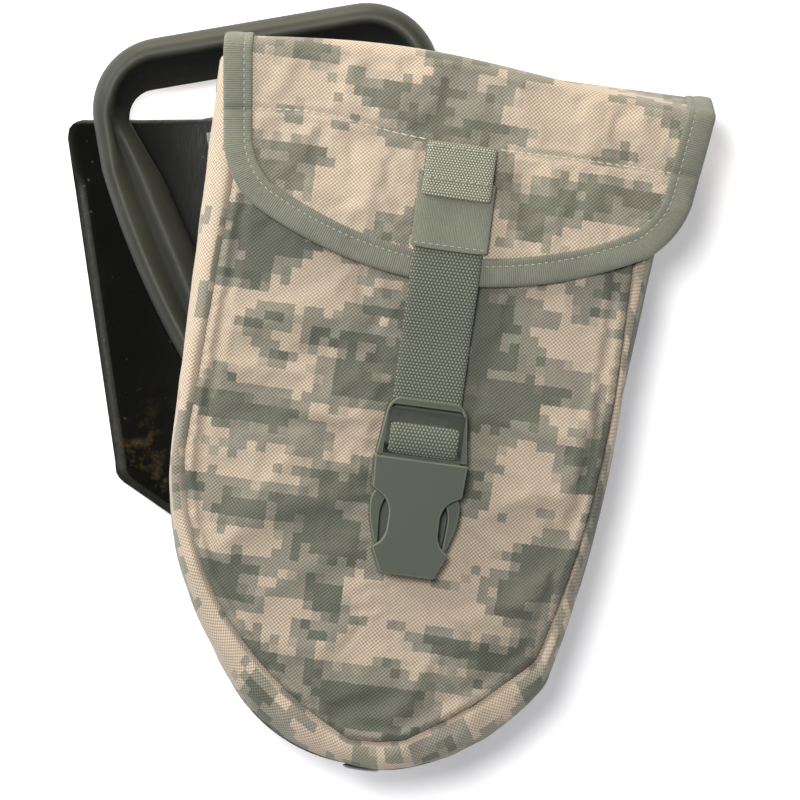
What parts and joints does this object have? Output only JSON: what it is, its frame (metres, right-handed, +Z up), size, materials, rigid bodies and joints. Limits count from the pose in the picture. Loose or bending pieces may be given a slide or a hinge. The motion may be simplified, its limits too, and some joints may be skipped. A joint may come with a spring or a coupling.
{
  "type": "camp shovel",
  "caption": "Folding camp shovel with a loop handle, lock nut and hinged blade, lying under its flapped fabric pouch with a buckled strap.",
  "frame": {"origin": "middle of the bounding box, on the ground under the blade", "axes": "+Z up from the ground, +Y roughly towards the handle's grip and the pouch's flap, +X to the right seen from above"},
  "size_m": [0.2397, 0.284, 0.0891],
  "materials": {
    "black_paint": "satin black enamel, lightly scuffed",
    "olive_black_paint": "smooth semi-gloss olive black coating",
    "dark_steel": "oiled bright steel",
    "zinc_steel": "plain steel",
    "blade_pin_steel": "blackened steel",
    "camo_fabric": null,
    "lining_fabric": "grey-green coated lining cloth",
    "webbing": "foliage green nylon webbing",
    "binding": "grey-green ribbed binding tape",
    "buckle_plastic": "foliage green acetal, fine satin",
    "eyelet_black": "black enamelled brass"
  },
  "bodies": {
    "shaft": {"inner_link": "zinc_steel", "shaft_tube": "olive_black_paint", "guide_bushes": "dark_steel", "threaded_sleeve": "dark_steel", "blade_hinge_pin": "blade_pin_steel", "handle_hinge_pin": "blade_pin_steel"},
    "nut_washer": {"thrust_washer": "zinc_steel"},
    "nut": {"lock_nut": "olive_black_paint"},
    "blade": {"blade": "black_paint", "blade_bracket": "black_paint", "blade_rivets": "black_paint"},
    "handle": {"d_handle": "olive_black_paint"},
    "pouch": {"front_panel": "camo_fabric", "back_panel": "camo_fabric", "gusset": "camo_fabric", "front_seam_tape": "binding", "back_seam_tape": "binding", "front_lining": "lining_fabric", "back_lining": "lining_fabric", "mouth_binding": "binding", "drain_eyelet": "eyelet_black", "drain_eyelet_washer": "eyelet_black", "belt_loops": "webbing", "carry_tape": "webbing"},
    "flap": {"flap": "camo_fabric", "flap_lining": "lining_fabric", "flap_binding": "binding", "closure_strap": "webbing", "strap_cover_tape": "binding", "strap_anchor": "webbing", "buckle_frame": "buckle_plastic"},
    "prong_left": {"prong_left": "buckle_plastic"},
    "prong_right": {"prong_right": "buckle_plastic"},
    "socket": {"buckle_socket": "buckle_plastic", "socket_tab": "webbing"}
  },
  "joints": [
    {"name": "handle_fold", "type": "hinge", "parent": "shaft", "child": "handle", "pos_m": [-0.0112, -0.0933, 0.022], "axis": [0.9857, 0.1685, 0], "range_deg": [0, 180]},
    {"name": "blade_fold", "type": "hinge", "parent": "shaft", "child": "blade", "pos_m": [-0.04321, 0.09398, 0.022], "axis": [0.9857, 0.1685, 0], "range_deg": [0, 180]},
    {"name": "nut_travel", "type": "slide", "parent": "shaft", "child": "nut_washer", "axis": [0.1685, -0.9857, 0], "range_m": [0, 0.006]},
    {"name": "nut_turn", "type": "hinge", "parent": "nut_washer", "child": "nut", "pos_m": [-0.03504, 0.04618, 0.022], "axis": [0.1685, -0.9857, 0], "range_deg": [0, 720]},
    {"name": "pouch_lift", "type": "slide", "parent": "shaft", "child": "pouch", "axis": [0, 0, 1], "range_m": [0, 0.6917]},
    {"name": "flap_open", "type": "hinge", "parent": "pouch", "child": "flap", "pos_m": [0.03047, 0.1176, 0.0518], "axis": [-0.9912, 0.1323, 0], "range_deg": [0, 115]},
    {"name": "buckle_release", "type": "slide", "parent": "flap", "child": "socket", "axis": [-0.1323, -0.9912, 0], "range_m": [0, 0.036]},
    {"name": "prong_left_squeeze", "type": "hinge", "parent": "flap", "child": "prong_left", "pos_m": [-0.00037, -0.02658, 0.08346], "axis": [0.0775, -0.0103, 0.9969], "range_deg": [0, 12.91]},
    {"name": "prong_right_squeeze", "type": "hinge", "parent": "flap", "child": "prong_right", "pos_m": [0.02256, -0.02964, 0.08164], "axis": [-0.0775, 0.0103, -0.9969], "range_deg": [0, 12.91]}
  ],
  "couplings": [
    {"joint": "blade_fold", "follows": "handle_fold", "ratio": 1},
    {"joint": "pouch_lift", "follows": "handle_fold", "m_per_rad": 0.22},
    {"joint": "nut_travel", "follows": "nut_turn", "m_per_rad": 0.00047746},
    {"joint": "prong_left_squeeze", "follows": "buckle_release", "rad_per_m": 6.25},
    {"joint": "prong_right_squeeze", "follows": "buckle_release", "rad_per_m": 6.25}
  ]
}
